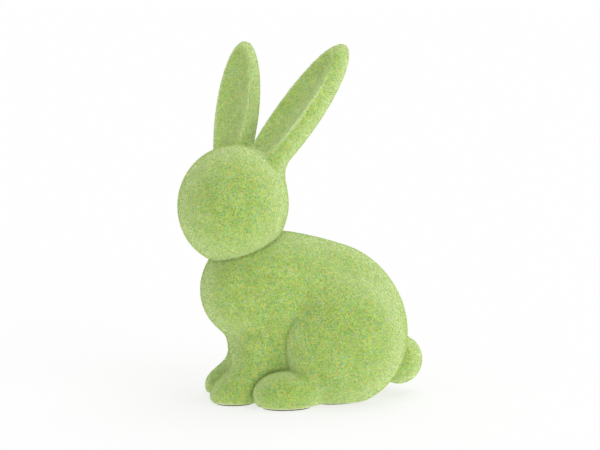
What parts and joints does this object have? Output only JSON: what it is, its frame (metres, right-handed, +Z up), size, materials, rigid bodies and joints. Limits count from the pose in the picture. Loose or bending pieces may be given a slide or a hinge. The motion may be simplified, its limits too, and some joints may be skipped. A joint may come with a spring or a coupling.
{
  "type": "rabbit figurine",
  "caption": "Sitting rabbit figurine with upright cupped ears and turned head, hollow ceramic castings under a soft flock coat, resting on felt pads.",
  "frame": {"origin": "on the underside of the body's felt pad, midway between the hind legs", "axes": "+Z up; the rabbit's body faces -Y and its left side is +X"},
  "size_m": [0.1074, 0.1365, 0.1944],
  "materials": {
    "biscuit": "matte",
    "flock": "matte",
    "felt": "matte"
  },
  "bodies": {
    "root": {"body_casting": "biscuit", "head_casting": "biscuit", "left_ear": "biscuit", "right_ear": "biscuit", "tail": "biscuit", "left_foreleg": "biscuit", "right_foreleg": "biscuit", "left_hind_foot": "biscuit", "right_hind_foot": "biscuit", "body_flock": "flock", "head_flock": "flock", "left_ear_flock": "flock", "right_ear_flock": "flock", "tail_flock": "flock", "left_foreleg_flock": "flock", "right_foreleg_flock": "flock", "left_hind_foot_flock": "flock", "right_hind_foot_flock": "flock", "body_felt": "felt", "left_paw_felt": "felt", "right_paw_felt": "felt", "left_foot_felt": "felt", "right_foot_felt": "felt"}
  },
  "joints": []
}
